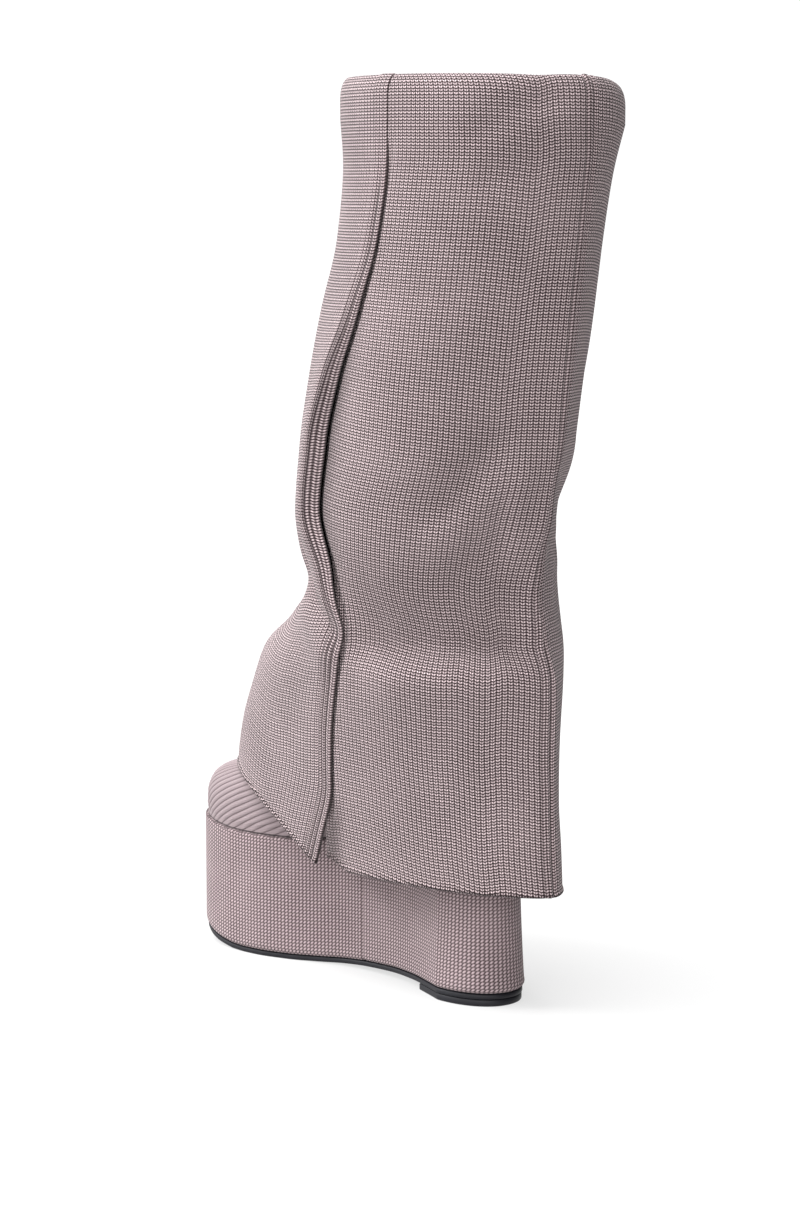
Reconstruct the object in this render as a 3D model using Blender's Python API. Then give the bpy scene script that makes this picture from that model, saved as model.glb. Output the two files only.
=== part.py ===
"""Flatform boot with a fold-over knit cuff, right foot. Metres, +Z up, toe along -Y, medial side at +X.

The origin is the middle of the heel lift's flat underside. The boot is built as it is sewn: a rubber
outsole and heel lift, a knit-wrapped flatform, an insole, a hollow ribbed upper with its shaft, and a
cuff that hooks over the collar and hangs outside the shaft down to the sole.
"""

import math

import bpy
import numpy as np

for old in list(bpy.data.objects):
    bpy.data.objects.remove(old)

# Driving dimensions
SOLE_LENGTH = 0.264
HEEL_BACK_Y = 0.028
TOE_TIP_Y = HEEL_BACK_Y - SOLE_LENGTH
TOE_TIP_X = 0.010  # the toe's point leans to the medial side
SEAT_GAP = 0.0003  # clearance between pieces that touch
FOOT_GAP = 0.0006  # the same under the upper's curved foot edge

OUTSOLE_THICKNESS = 0.0034
OUTSOLE_INSET = 0.0022  # outsole edge inside the wrap's edge
OUTSOLE_BEVEL = 0.0008
LIFT_INSET = 0.0026
LIFT_FRONT_Y = -0.034
INSOLE_THICKNESS = 0.004
INSOLE_INSET = 0.0011  # beside the upper's inner wall

WRAP_BOTTOM_RADIUS = 0.0035  # the wrap turns under the flatform at this radius
WRAP_TOP_RADIUS = 0.0015
HEEL_FLARE = 0.0035  # the heel wall leans out by this much towards the floor

UPPER_WALL = 0.0026
FEATHER_INSET = 0.0018  # upper's foot inside the flatform's top edge
CUFF_WALL = 0.0030
COLLAR_TOP_Z = 0.5530  # top edge of the upper's shaft, inside the cuff's fold
COLLAR_STRAIGHT = 0.018  # upright band below the collar's edge
RIM_BACK_DROP = 0.0045  # the rim is lower at the centre back
RIM_DROP_FROM = 0.46  # the drop fades out at this height
FOLD_RADIUS = 0.0058  # outside of the cuff's roll over the collar
FOLD_DROP = 0.0016  # the roll's centre below the collar's edge
FOLD_FACING = 0.011  # length of cuff turned down inside the collar
SEAM_RIDGE = 0.0022  # height of the ribbed side seam
BACK_RIDGE = 0.0012
SLIT_FORWARD = 0.018  # the front panel's corner swings forward by this much at the hem
SLIT_BACK = 0.009  # and the back panel's corner back by this much
SLIT_POWER = 0.7  # below 1 the slit opens fast under its top

SOLE_STATIONS = 30
FOOT_COLUMNS = 18  # columns on each side of the upper
# Cuff columns as shares of the way from centre back to side seam, and from there to the centre front
CUFF_BACK_SHARES = (0.0, 0.035, 0.13, 0.27, 0.42, 0.57, 0.72, 0.86, 0.955, 1.0)
CUFF_FRONT_SHARES = (0.06, 0.18, 0.32, 0.46, 0.60, 0.74, 0.88, 1.0)

# Plan of the flatform at its widest: distance from the axis to each side
SOLE_PLAN_COLUMNS = ("y", "medial", "lateral")
SOLE_PLAN = (
    (-0.008, 0.0245, 0.0260),
    (-0.022, 0.0210, 0.0265),
    (-0.040, 0.0173, 0.0278),
    (-0.064, 0.0150, 0.0302),
    (-0.086, 0.0148, 0.0332),
    (-0.106, 0.0174, 0.0368),
    (-0.128, 0.0260, 0.0412),
    (-0.147, 0.0345, 0.0434),
    (-0.166, 0.0410, 0.0428),
    (-0.188, 0.0442, 0.0385),
)
HEEL_Y = SOLE_PLAN[0][0]  # behind this the heel is a rounded end
BALL_Y = SOLE_PLAN[-1][0]  # from here the toe is a rounded end
HEEL_SQUARENESS = 2.1
TOE_SQUARENESS = 2.55

# Heights of the flatform's underside and of its top edge (feather line)
SOLE_HEIGHT_COLUMNS = ("y", "bottom", "top")
SOLE_HEIGHTS = (
    (0.030, 0.0079, 0.1060),
    (0.000, 0.0079, 0.1058),
    (-0.038, 0.0079, 0.1020),
    (-0.062, 0.0076, 0.0950),
    (-0.094, 0.0060, 0.0865),
    (-0.122, 0.0042, 0.0816),
    (-0.145, 0.0034, 0.0798),
    (-0.176, 0.0034, 0.0798),
    (-0.200, 0.0058, 0.0812),
    (-0.220, 0.0108, 0.0836),
    (-0.237, 0.0178, 0.0868),
)

# Rings of the upper above its foot edge: end points on the centre plane, half widths, and how much of the
# sole's plan is left in the ring
UPPER_COLUMNS = ("back_y", "back_z", "front_y", "front_z", "medial", "lateral", "foot")
UPPER_RINGS = (
    (0.0275, 0.1130, -0.2352, 0.0930, 0.0424, 0.0428, 1.00),
    (0.0282, 0.1220, -0.2346, 0.1000, 0.0414, 0.0415, 1.00),
    (0.0282, 0.1320, -0.2308, 0.1078, 0.0392, 0.0390, 1.00),
    (0.0268, 0.1440, -0.2205, 0.1138, 0.0356, 0.0360, 0.98),
    (0.0245, 0.1570, -0.2025, 0.1180, 0.0325, 0.0335, 0.94),
    (0.0226, 0.1720, -0.1730, 0.1230, 0.0308, 0.0322, 0.88),
    (0.0216, 0.1890, -0.1420, 0.1375, 0.0312, 0.0325, 0.78),
    (0.0225, 0.2090, -0.1150, 0.1620, 0.0330, 0.0340, 0.62),
    (0.0260, 0.2330, -0.0960, 0.1970, 0.0355, 0.0360, 0.40),
    (0.0325, 0.2670, -0.0880, 0.2460, 0.0385, 0.0388, 0.18),
    (0.0430, 0.3170, -0.0860, 0.3080, 0.0430, 0.0430, 0.0),
    (0.0560, 0.3870, -0.0860, 0.3830, 0.0495, 0.0495, 0.0),
    (0.0740, 0.4660, -0.0875, 0.4650, 0.0570, 0.0570, 0.0),
    (0.0865, 0.5150, -0.0900, 0.5150, 0.0625, 0.0625, 0.0),
)

# Rings of the cuff's outer face from the fold to the hem: centre back, side seam and centre front. corner
# says how sharply the two back panels meet, front_power how blunt the front is, seam_turn where the side
# seam lies in degrees from the back, pleat how deep the back panel is tucked behind that seam.
CUFF_COLUMNS = (
    "back_y", "back_z", "seam_z", "front_y", "front_z",
    "medial", "lateral", "corner", "front_power", "seam_turn", "pleat",
)
CUFF_RINGS = (
    (0.0985, 0.5330, 0.533, -0.0975, 0.533, 0.0700, 0.0700, 0.00, 1.00, 92, 0.000),
    (0.0910, 0.5030, 0.503, -0.0945, 0.503, 0.0690, 0.0690, 0.20, 1.00, 92, 0.000),
    (0.0850, 0.4620, 0.462, -0.0995, 0.461, 0.0700, 0.0700, 0.45, 1.00, 93, 0.001),
    (0.0800, 0.4200, 0.420, -0.1140, 0.418, 0.0725, 0.0725, 0.65, 1.00, 95, 0.003),
    (0.0750, 0.3800, 0.380, -0.1255, 0.376, 0.0740, 0.0740, 0.80, 1.00, 98, 0.005),
    (0.0690, 0.3400, 0.340, -0.1345, 0.334, 0.0745, 0.0745, 0.90, 1.00, 100, 0.006),
    (0.0510, 0.3000, 0.300, -0.1380, 0.292, 0.0740, 0.0740, 0.95, 1.00, 101, 0.006),
    (0.0540, 0.2620, 0.262, -0.1235, 0.254, 0.0715, 0.0715, 0.95, 1.00, 99, 0.005),
    (0.0640, 0.2280, 0.226, -0.1460, 0.228, 0.0690, 0.0690, 0.95, 0.95, 93, 0.002),
    (0.0680, 0.1940, 0.190, -0.1755, 0.206, 0.0660, 0.0660, 0.90, 0.85, 91, 0.000),
    (0.0670, 0.1600, 0.155, -0.1905, 0.180, 0.0605, 0.0615, 0.80, 0.75, 92, 0.000),
    (0.0665, 0.1290, 0.119, -0.2010, 0.156, 0.0555, 0.0575, 0.65, 0.65, 92, 0.000),
    (0.0680, 0.1010, 0.096, -0.2055, 0.138, 0.0522, 0.0552, 0.52, 0.58, 92, 0.000),
    (0.0690, 0.0735, 0.073, -0.2075, 0.124, 0.0495, 0.0535, 0.42, 0.52, 92, 0.000),
)
CORNER_POWER = 2.5
SLIT_TOP_RING = 11  # the side slits open below this ring

KNIT_COLOUR = (0.34, 0.27, 0.265, 1.0)
RIB_COLOUR = (0.37, 0.30, 0.295, 1.0)
RUBBER_COLOUR = (0.012, 0.012, 0.015, 1.0)
INSOLE_COLOUR = (0.30, 0.24, 0.23, 1.0)


def column(table, names, name):
    """One named column of a table as an array."""
    return np.array([row[names.index(name)] for row in table], float)


def smooth(x, known_x, known_y):
    """Cubic curve through the known points that doesn't overshoot between them."""
    known_x, known_y = np.asarray(known_x, float), np.asarray(known_y, float)
    if known_x[0] > known_x[-1]:
        known_x, known_y = known_x[::-1], known_y[::-1]
    step = np.diff(known_x)
    slope = np.diff(known_y) / step
    tangent = np.zeros_like(known_y)
    rising = slope[:-1] * slope[1:] > 0
    weight_a, weight_b = 2 * step[1:] + step[:-1], step[1:] + 2 * step[:-1]
    safe = np.where(rising, slope[:-1] * slope[1:], 1.0)
    harmonic = (weight_a + weight_b) * safe / (weight_a * slope[1:] + weight_b * slope[:-1] + (~rising))
    tangent[1:-1] = np.where(rising, harmonic, 0.0)
    tangent[0], tangent[-1] = slope[0], slope[-1]
    x = np.clip(np.asarray(x, float), known_x[0], known_x[-1])
    k = np.clip(np.searchsorted(known_x, x) - 1, 0, len(step) - 1)
    t = (x - known_x[k]) / step[k]
    h = step[k]
    return (
        known_y[k] * (1 + 2 * t) * (1 - t) ** 2
        + tangent[k] * h * t * (1 - t) ** 2
        + known_y[k + 1] * t**2 * (3 - 2 * t)
        + tangent[k + 1] * h * t**2 * (t - 1)
    )


def sole_side(y, side, inset=0.0):
    """Distance of the flatform's outline from the axis on the medial or lateral side, less an inset."""
    y = np.asarray(y, float)
    plan_y = column(SOLE_PLAN, SOLE_PLAN_COLUMNS, "y")
    widths = column(SOLE_PLAN, SOLE_PLAN_COLUMNS, side) - inset
    lean = TOE_TIP_X if side == "medial" else -TOE_TIP_X
    t = np.clip((y - HEEL_Y) / (HEEL_BACK_Y - inset - HEEL_Y), 0, 1)
    heel = widths[0] * (1 - t**HEEL_SQUARENESS) ** (1 / HEEL_SQUARENESS)
    middle = smooth(y, plan_y, widths)
    t = np.clip((BALL_Y - y) / (BALL_Y - TOE_TIP_Y - inset), 0, 1)
    toe = lean * t + (widths[-1] - lean * t) * (1 - t**TOE_SQUARENESS) ** (1 / TOE_SQUARENESS)
    return np.where(y > HEEL_Y, heel, np.where(y < BALL_Y, toe, middle))


def sole_stations(inset=0.0, back=None, front=None):
    """Stations along the sole, closer together at the rounded ends."""
    back = HEEL_BACK_Y - inset if back is None else back
    front = TOE_TIP_Y + inset if front is None else front
    turn = np.linspace(0, math.pi, SOLE_STATIONS)
    return 0.5 * (back + front) + 0.5 * (back - front) * np.cos(turn)


def sole_loop(inset, stations=None):
    """Closed plan loop: the medial side from heel to toe, then the lateral side back to the heel."""
    y = sole_stations(inset) if stations is None else stations
    medial = sole_side(y, "medial", inset)
    lateral = sole_side(y, "lateral", inset)
    loop_x = np.concatenate([medial, -lateral[-2:0:-1]])
    loop_y = np.concatenate([y, y[-2:0:-1]])
    return loop_x, loop_y


def sole_height(y, name):
    """Height of the flatform's underside or top edge at a station."""
    heights = column(SOLE_HEIGHTS, SOLE_HEIGHT_COLUMNS, name)
    return smooth(y, column(SOLE_HEIGHTS, SOLE_HEIGHT_COLUMNS, "y"), heights)


def add_object(name, verts, faces, colour, roughness):
    """Mesh object with its own material, flat faces turned outward by their order."""
    mesh = bpy.data.meshes.new(name)
    mesh.from_pydata([tuple(v) for v in verts], [], faces)
    mesh.update()
    obj = bpy.data.objects.new(name, mesh)
    bpy.context.scene.collection.objects.link(obj)
    material = bpy.data.materials.new(name + "_mat")
    material.use_nodes = True
    shader = material.node_tree.nodes["Principled BSDF"]
    shader.inputs["Base Color"].default_value = colour
    shader.inputs["Roughness"].default_value = roughness
    mesh.materials.append(material)
    return obj


def stacked_solid(name, loops, colour, roughness):
    """Closed solid from loops of equal length, bottom loop first, with ladder caps across the two ends."""
    count = len(loops[0])
    verts = np.concatenate(loops)
    faces = []
    for level in range(len(loops) - 1):
        for i in range(count):
            j = (i + 1) % count
            a, b = level * count + i, level * count + j
            faces.append((a, a + count, b + count, b))
    half = count // 2
    for base, flip in ((0, False), ((len(loops) - 1) * count, True)):
        for i in range(half):
            ring = [base + i, base + i + 1, base + (count - i - 1) % count, base + (count - i) % count]
            ring = list(dict.fromkeys(ring))
            faces.append(tuple(ring[::-1] if flip else ring))
    return add_object(name, verts, faces, colour, roughness)


def sole_level(inset, height):
    """Loop of points at an inset, with its height given as a function of y."""
    x, y = sole_loop(inset)
    return np.stack([x, y, height(y)], axis=1)


def build_outsole():
    """Thin rubber bottom, bevelled at the floor."""

    def top(y):
        return sole_height(y, "bottom") - SEAT_GAP

    def low(y):
        return sole_height(y, "bottom") - OUTSOLE_THICKNESS

    loops = [
        sole_level(OUTSOLE_INSET + OUTSOLE_BEVEL, low),
        sole_level(OUTSOLE_INSET, lambda y: low(y) + OUTSOLE_BEVEL),
        sole_level(OUTSOLE_INSET, top),
    ]
    return stacked_solid("outsole", loops, RUBBER_COLOUR, 0.45)


def build_heel_lift():
    """Rubber block under the heel, its front face square to the axis."""
    back = HEEL_BACK_Y - LIFT_INSET
    y = sole_stations(LIFT_INSET, back=back, front=LIFT_FRONT_Y)
    top = sole_height(0.0, "bottom") - OUTSOLE_THICKNESS - SEAT_GAP
    loops = []
    levels = ((LIFT_INSET + OUTSOLE_BEVEL, 0.0), (LIFT_INSET, OUTSOLE_BEVEL), (LIFT_INSET, float(top)))
    for inset, z in levels:
        stations = np.clip(y, None, HEEL_BACK_Y - inset)
        x, loop_y = lift_loop(inset, stations)
        loops.append(np.stack([x, loop_y, np.full_like(x, z)], axis=1))
    return stacked_solid("heel_lift", loops, RUBBER_COLOUR, 0.4)


def lift_loop(inset, stations):
    """Plan loop of the lift: round at the back, straight across its front."""
    medial = sole_side(stations, "medial", inset)
    lateral = sole_side(stations, "lateral", inset)
    loop_x = np.concatenate([medial, -lateral[::-1][:-1]])
    loop_y = np.concatenate([stations, stations[::-1][:-1]])
    return loop_x, loop_y


def build_platform():
    """Flatform wedge with its knit wrap: flared at the heel, rounded under and at the top edge."""

    def bottom(y):
        return sole_height(y, "bottom")

    def top(y):
        return sole_height(y, "top")

    def flare(y):
        return HEEL_FLARE * smooth(y, (-0.06, 0.0, 0.03), (0.0, 1.0, 1.0))

    levels = []
    for share in (0.0, 0.35, 1.0):
        turn = 0.5 * math.pi * share
        lift = WRAP_BOTTOM_RADIUS * (1 - math.cos(turn))
        levels.append((WRAP_BOTTOM_RADIUS * (1 - math.sin(turn)), lambda y, d=lift: bottom(y) + d, 1.0))
    for share in (0.22, 0.45, 0.72):
        levels.append((0.0, lambda y, t=share: bottom(y) + t * (top(y) - bottom(y)), (1 - share) ** 2))
    levels.append((0.0, lambda y: top(y) - WRAP_TOP_RADIUS, 0.0))
    levels.append((WRAP_TOP_RADIUS, top, 0.0))
    loops = []
    for inset, height, flared in levels:
        points = sole_level(inset, height)
        out = flared * flare(points[:, 1]) / HEEL_BACK_Y
        points[:, 0] *= 1 + out
        points[:, 1] += np.clip(points[:, 1], 0, None) * out
        loops.append(points)
    return stacked_solid("platform", loops, KNIT_COLOUR, 0.9)


def build_insole():
    """Footbed lying on the flatform inside the upper's walls."""
    inset = FEATHER_INSET + UPPER_WALL + INSOLE_INSET

    def low(y):
        return sole_height(y, "top") + SEAT_GAP

    loops = [sole_level(inset, low), sole_level(inset, lambda y: low(y) + INSOLE_THICKNESS)]
    return stacked_solid("insole", loops, INSOLE_COLOUR, 0.85)


def refine(table, names, steps):
    """Rows between the table's own rows, as a dictionary of columns."""
    known = np.arange(len(table), dtype=float)
    fine = np.linspace(0, len(table) - 1, (len(table) - 1) * steps + 1)
    return {name: smooth(fine, known, column(table, names, name)) for name in names}


def upper_half(ring, side):
    """One side of an upper ring from back to front: x, y, z."""
    turn = np.linspace(0, math.pi, FOOT_COLUMNS + 1)
    mid, reach = 0.5 * (ring["back_y"] + ring["front_y"]), 0.5 * (ring["back_y"] - ring["front_y"])
    y = mid + reach * np.cos(turn)
    share = (ring["back_y"] - y) / (2 * reach)
    sole_y = HEEL_BACK_Y + share * (TOE_TIP_Y - HEEL_BACK_Y)
    ball = max(column(SOLE_PLAN, SOLE_PLAN_COLUMNS, side))
    like_sole = sole_side(sole_y, side) * ring[side] / ball
    x = ring["foot"] * like_sole + (1 - ring["foot"]) * ring[side] * np.sin(turn)
    z = ring["back_z"] + (ring["front_z"] - ring["back_z"]) * share
    heel_top, toe_top = sole_height(HEEL_BACK_Y, "top"), sole_height(TOE_TIP_Y, "top")
    chord = heel_top + (toe_top - heel_top) * share
    z = z + ring["foot"] ** 4 * (sole_height(sole_y, "top") - chord)
    return x, y, z


def close_ring(medial, lateral):
    """Points of a whole ring, medial side from back to front, then the lateral side back again."""
    x = np.concatenate([medial[0], -lateral[0][-2:0:-1]])
    y = np.concatenate([medial[1], lateral[1][-2:0:-1]])
    z = np.concatenate([medial[2], lateral[2][-2:0:-1]])
    return np.stack([x, y, z], axis=1)


def tube_faces(rings, count):
    """Faces between stacked closed rings of equal length, turned outward for rings that climb."""
    faces = []
    for level in range(rings - 1):
        for i in range(count):
            j = (i + 1) % count
            a, b = level * count + i, level * count + j
            faces.append((a, a + count, b + count, b))
    return faces


def thicken(obj, wall):
    """Give an open skin its wall, measured inward."""
    solid = obj.modifiers.new("wall", "SOLIDIFY")
    solid.thickness = wall
    solid.offset = -1.0
    solid.use_even_offset = True
    solid.use_rim = True


def build_upper():
    """Hollow foot and shaft, open at the collar and underneath."""
    turn = np.linspace(0, math.pi, FOOT_COLUMNS + 1)
    back, front = HEEL_BACK_Y - FEATHER_INSET, TOE_TIP_Y + FEATHER_INSET
    y = 0.5 * (back + front) + 0.5 * (back - front) * np.cos(turn)
    rings = []
    for climb in (FOOT_GAP, 0.004):
        z = sole_height(y, "top") + climb
        halves = [(sole_side(y, side, FEATHER_INSET), y, z) for side in ("medial", "lateral")]
        rings.append(close_ring(*halves))
    table = refine(UPPER_RINGS, UPPER_COLUMNS, 2)
    for k in range(len(table["back_y"])):
        ring = {name: float(values[k]) for name, values in table.items()}
        rings.append(close_ring(upper_half(ring, "medial"), upper_half(ring, "lateral")))
    collar = collar_ring()
    for z in (COLLAR_TOP_Z - COLLAR_STRAIGHT, COLLAR_TOP_Z):
        half_x = collar["half"] * np.sin(turn)
        half_y = collar["mid"] + collar["reach"] * np.cos(turn)
        half = (half_x, half_y, z - rim_drop(turn))
        rings.append(close_ring(half, half))
    obj = add_object("upper", np.concatenate(rings), tube_faces(len(rings), len(rings[0])), RIB_COLOUR, 0.9)
    thicken(obj, UPPER_WALL)
    return obj


def rim_drop(turn):
    """How far the rim lies below its highest line, at an angle from the back."""
    return RIM_BACK_DROP * np.clip(np.cos(turn), 0, 1) ** 1.5


def collar_ring():
    """Plan of the collar's outer face, inside the cuff's first ring."""
    first = dict(zip(CUFF_COLUMNS, CUFF_RINGS[0]))
    inside = FOLD_RADIUS - 0.5 * UPPER_WALL
    return {
        "half": first["medial"] - inside,
        "mid": 0.5 * (first["back_y"] + first["front_y"]),
        "reach": 0.5 * (first["back_y"] - first["front_y"]) - inside,
    }


def cuff_turns(seam_turn):
    """Column angles of a cuff ring from the centre back, through the side seam, to the centre front."""
    seam = math.radians(seam_turn)
    front = seam + np.array(CUFF_FRONT_SHARES) * (math.pi - seam)
    return np.concatenate([np.array(CUFF_BACK_SHARES) * seam, front])


def cuff_half(ring, side, slide=0.0):
    """One half of a cuff ring, on the +X side, from centre back to centre front, with its seams raised.
    slide moves the side edge along the ring, forward if above zero."""
    mid, reach = 0.5 * (ring["back_y"] + ring["front_y"]), 0.5 * (ring["back_y"] - ring["front_y"])
    turn = cuff_turns(ring["seam_turn"] + math.degrees(slide / reach))
    seam = len(CUFF_BACK_SHARES) - 1
    cosine, sine = np.cos(turn), np.sin(turn).clip(0, None)
    gore = ring["corner"] * (1 - np.abs(cosine) ** CORNER_POWER) + (1 - ring["corner"]) * sine
    across = np.where(cosine > 0, gore, sine ** ring["front_power"])
    out = np.zeros_like(turn)
    out[seam] = SEAM_RIDGE
    out[seam - 1] = -ring["pleat"]
    out[seam - 2] = -0.6 * ring["pleat"]
    x = ring[side] * across + out
    y = mid + reach * cosine
    y[0] += BACK_RIDGE
    x[0] = x[-1] = 0.0
    back_share = np.clip(turn / turn[seam], 0, 1)
    front_share = np.clip((turn - turn[seam]) / (math.pi - turn[seam]), 0, 1)
    z = ring["back_z"] + (ring["seam_z"] - ring["back_z"]) * back_share**2
    z = z + (ring["front_z"] - ring["seam_z"]) * front_share * (2 - front_share)
    z = z - rim_drop(turn) * np.clip((ring["back_z"] - RIM_DROP_FROM) / (COLLAR_TOP_Z - RIM_DROP_FROM), 0, 1)
    return np.stack([x, y, z], axis=1)


def fold_rings():
    """Rings of the roll over the collar, from the facing inside it to the outer face."""
    collar = collar_ring()
    centre_z = COLLAR_TOP_Z - FOLD_DROP
    rolls = [(-FOLD_RADIUS, centre_z - FOLD_FACING)]
    for step in range(9):
        angle = math.pi * (1 - step / 8)
        rolls.append((FOLD_RADIUS * math.cos(angle), centre_z + FOLD_RADIUS * math.sin(angle)))
    turn = cuff_turns(CUFF_RINGS[0][CUFF_COLUMNS.index("seam_turn")])
    rings = []
    for out, z in rolls:
        shift = out - 0.5 * UPPER_WALL
        x = (collar["half"] + shift) * np.sin(turn)
        y = collar["mid"] + (collar["reach"] + shift) * np.cos(turn)
        rings.append(np.stack([x, y, z - rim_drop(turn)], axis=1))
    return rings


def build_cuff():
    """Fold-over cuff: rolled over the collar, hanging to the hem, open at the two side slits."""
    table = refine(CUFF_RINGS, CUFF_COLUMNS, 2)
    slit_top = 2 * SLIT_TOP_RING
    verts, faces = [], []
    rows = []
    mirror = np.array([-1.0, 1.0, 1.0])

    def put(point):
        verts.append(tuple(point))
        return len(verts) - 1

    def weave(halves, seam, split):
        """Vertex numbers of one ring: the back panels and the front panel, joined above the slits."""
        back_m, back_l, front_m, front_l = halves
        back_medial = [put(p) for p in back_m[: seam + 1]]
        back_lateral = [back_medial[0]] + [put(p * mirror) for p in back_l[1 : seam + 1]]
        tip = put(front_m[-1])
        front_medial = [put(p) for p in front_m[seam + 1 : -1]] + [tip]
        front_lateral = [put(p * mirror) for p in front_l[seam + 1 : -1]] + [tip]
        edges = (back_medial[-1], back_lateral[-1])
        if split:
            edges = (put(front_m[seam]), put(front_l[seam] * mirror))
        return {
            "back": back_lateral[::-1] + back_medial[1:],
            "front": [edges[0]] + front_medial + front_lateral[-2::-1] + [edges[1]],
        }

    for half in fold_rings():
        rows.append(weave((half, half, half, half), len(CUFF_BACK_SHARES) - 1, False))
    for k in range(len(table["back_y"])):
        ring = {name: float(values[k]) for name, values in table.items()}
        opened = (max(0, k - slit_top) / (len(table["back_y"]) - 1 - slit_top)) ** SLIT_POWER
        slides = (-SLIT_BACK * opened, -SLIT_BACK * opened, SLIT_FORWARD * opened, SLIT_FORWARD * opened)
        sides = ("medial", "lateral", "medial", "lateral")
        halves = [cuff_half(ring, side, slide) for side, slide in zip(sides, slides)]
        rows.append(weave(halves, len(CUFF_BACK_SHARES) - 1, k > slit_top))
    for upper_row, lower_row in zip(rows, rows[1:]):
        for panel in ("back", "front"):
            high, low = upper_row[panel], lower_row[panel]
            for i in range(len(high) - 1):
                faces.append((high[i], high[i + 1], low[i + 1], low[i]))
    obj = add_object("cuff", verts, faces, KNIT_COLOUR, 0.9)
    thicken(obj, CUFF_WALL)
    return obj


build_outsole()
build_heel_lift()
build_platform()
build_insole()
build_upper()
build_cuff()
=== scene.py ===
import math

import bpy
import numpy as np
from mathutils import Matrix


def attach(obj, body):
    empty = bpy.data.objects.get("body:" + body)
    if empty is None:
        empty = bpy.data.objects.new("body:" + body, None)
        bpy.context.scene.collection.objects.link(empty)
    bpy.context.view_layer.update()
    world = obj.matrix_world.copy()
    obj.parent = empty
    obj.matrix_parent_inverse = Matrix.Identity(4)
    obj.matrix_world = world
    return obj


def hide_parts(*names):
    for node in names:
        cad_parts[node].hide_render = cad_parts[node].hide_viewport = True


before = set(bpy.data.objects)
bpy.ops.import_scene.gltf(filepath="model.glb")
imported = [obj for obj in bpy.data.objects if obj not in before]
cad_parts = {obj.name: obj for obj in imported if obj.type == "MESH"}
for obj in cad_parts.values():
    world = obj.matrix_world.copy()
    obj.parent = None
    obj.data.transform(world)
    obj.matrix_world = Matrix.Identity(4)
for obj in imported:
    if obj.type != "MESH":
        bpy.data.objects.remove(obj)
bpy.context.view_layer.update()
scene = bpy.context.scene
print("frame loaded:", ", ".join(sorted(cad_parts)))

# Camera at the photo's place, for an image of 800 by 1209
view = {
    "place": (1.2407, 1.3382, 0.4990),
    "aim": (0.0131, 0.0224),  # point on the floor that the level line of sight passes
    "yawLeft": 1.66,  # degrees the axis is turned from that point
    "pitchDown": 8.0,
    "focalPixels": 3050.0,
    "tallPixels": 1209.0,
    "sensor": 36.0,
}


def axesAt(right, up, back, place):
    # matrix from three axes and a place
    turned = np.eye(4)
    turned[:3] = np.stack([right, up, back, place], 1)
    return Matrix(turned.tolist())


def addCamera(spec):
    # axes of the camera: level direction to the aim, turned left, then pitched down
    place = np.array(spec["place"])
    level = np.array([*spec["aim"], 0.0]) - place * (1, 1, 0)
    level /= np.linalg.norm(level)
    left = np.array([-level[1], level[0], 0.0])
    yaw, pitch = math.radians(spec["yawLeft"]), math.radians(spec["pitchDown"])
    ahead = (level * math.cos(yaw) + left * math.sin(yaw)) * math.cos(pitch)
    ahead[2] = -math.sin(pitch)
    right = np.cross(ahead, (0, 0, 1))
    right /= np.linalg.norm(right)
    up = np.cross(right, ahead)
    data = bpy.data.cameras.new("camera")
    data.sensor_width = spec["sensor"]
    data.lens = spec["focalPixels"] * spec["sensor"] / spec["tallPixels"]
    data.clip_start, data.clip_end = 0.05, 60.0
    made = bpy.data.objects.new("camera", data)
    scene.collection.objects.link(made)
    made.matrix_world = axesAt(right, up, -ahead, place)
    scene.camera = made


addCamera(view)
print("camera set")


# Curves and grids


def through(x, knownX, knownY):
    # cubic through the known points whose slopes are harmonic means, so it never overshoots
    knownX, knownY = np.asarray(knownX, float), np.asarray(knownY, float)
    if knownX[0] > knownX[-1]:
        knownX, knownY = knownX[::-1], knownY[::-1]
    step = np.diff(knownX)
    slope = np.diff(knownY) / step
    tangent = np.zeros_like(knownY)
    rising = slope[:-1] * slope[1:] > 0
    wa, wb = 2 * step[1:] + step[:-1], step[1:] + 2 * step[:-1]
    safe = np.where(rising, slope[:-1] * slope[1:], 1.0)
    mean = (wa + wb) * safe / (wa * slope[1:] + wb * slope[:-1] + (~rising))
    tangent[1:-1] = np.where(rising, mean, 0.0)
    tangent[0], tangent[-1] = slope[0], slope[-1]
    x = np.clip(np.asarray(x, float), knownX[0], knownX[-1])
    k = np.clip(np.searchsorted(knownX, x) - 1, 0, len(step) - 1)
    h = step[k]
    t = (x - knownX[k]) / h
    ends = knownY[k] * (1 + 2 * t) * (1 - t) ** 2 + knownY[k + 1] * t**2 * (3 - 2 * t)
    return ends + tangent[k] * h * t * (1 - t) ** 2 + tangent[k + 1] * h * t**2 * (t - 1)


def ease(x, low, high):
    # smooth step from 0 at low to 1 at high
    t = np.clip((x - low) / (high - low), 0, 1)
    return t * t * (3 - 2 * t)


def bell(x, wide):
    # 1 at zero, falling off on both sides: e to the minus square of x over the width
    return np.exp(-((x / wide) ** 2))


def tableAt(rows, names, where):
    # every named column of a table as a smooth curve over the row number
    rows = np.array(rows, float)
    known = np.arange(len(rows))
    return {name: through(where, known, rows[:, i]) for i, name in enumerate(names)}


def rowArcs(curves):
    # length along each row from its first point: curves is rows by samples by 3
    steps = np.linalg.norm(np.diff(curves, axis=1), axis=2)
    return np.concatenate([np.zeros((len(curves), 1)), np.cumsum(steps, axis=1)], axis=1)


def atArcs(curves, arcs, places):
    # points of each row at the given lengths along it
    out = np.empty((*places.shape, 3))
    for r in range(len(curves)):
        for axis in range(3):
            out[r, :, axis] = np.interp(places[r], arcs[r], curves[r, :, axis])
    return out


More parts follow.
